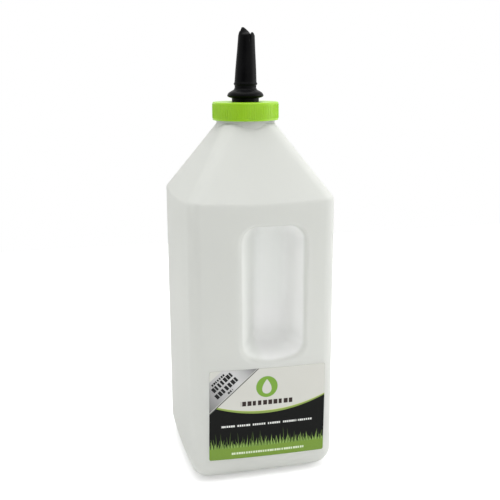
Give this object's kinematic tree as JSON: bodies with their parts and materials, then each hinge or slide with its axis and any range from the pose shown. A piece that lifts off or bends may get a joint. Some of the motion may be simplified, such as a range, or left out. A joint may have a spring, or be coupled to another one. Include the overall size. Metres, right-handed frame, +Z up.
{
  "type": "calf feeding bottle",
  "caption": "Square plastic feeding bottle with finger grips in its front and back, a pyramid shoulder, a ribbed screw cap and a tapered rubber teat for bottle-feeding calves.",
  "frame": {"origin": "centre of the base, on the surface the bottle stands on", "axes": "+Z up along the neck and teat, -Y out of the labelled front face, +X to the right of the front"},
  "size_m": [0.1274, 0.1276, 0.3792],
  "materials": {
    "bottle": "natural translucent polyethylene, satin",
    "label": "printed self-adhesive film",
    "cap": "moulded green polypropylene, semi-gloss",
    "washer": "soft pale rubber",
    "teat": "black natural rubber, satin"
  },
  "bodies": {
    "bottle": {"bottle_body": "bottle", "label": "label"},
    "washer": {"sealing_washer": "washer"},
    "cap": {"screw_cap": "cap", "teat": "teat"}
  },
  "joints": [
    {"name": "cap_lift", "type": "slide", "parent": "bottle", "child": "washer", "axis": [0, 0, 1], "range_m": [0, 0.01201]},
    {"name": "cap_turn", "type": "hinge", "parent": "washer", "child": "cap", "pos_m": [0, 0, 0.31], "axis": [0, 0, 1], "range_deg": [0, 720]}
  ],
  "couplings": [
    {"joint": "cap_lift", "follows": "cap_turn", "m_per_rad": 0.00095493}
  ]
}
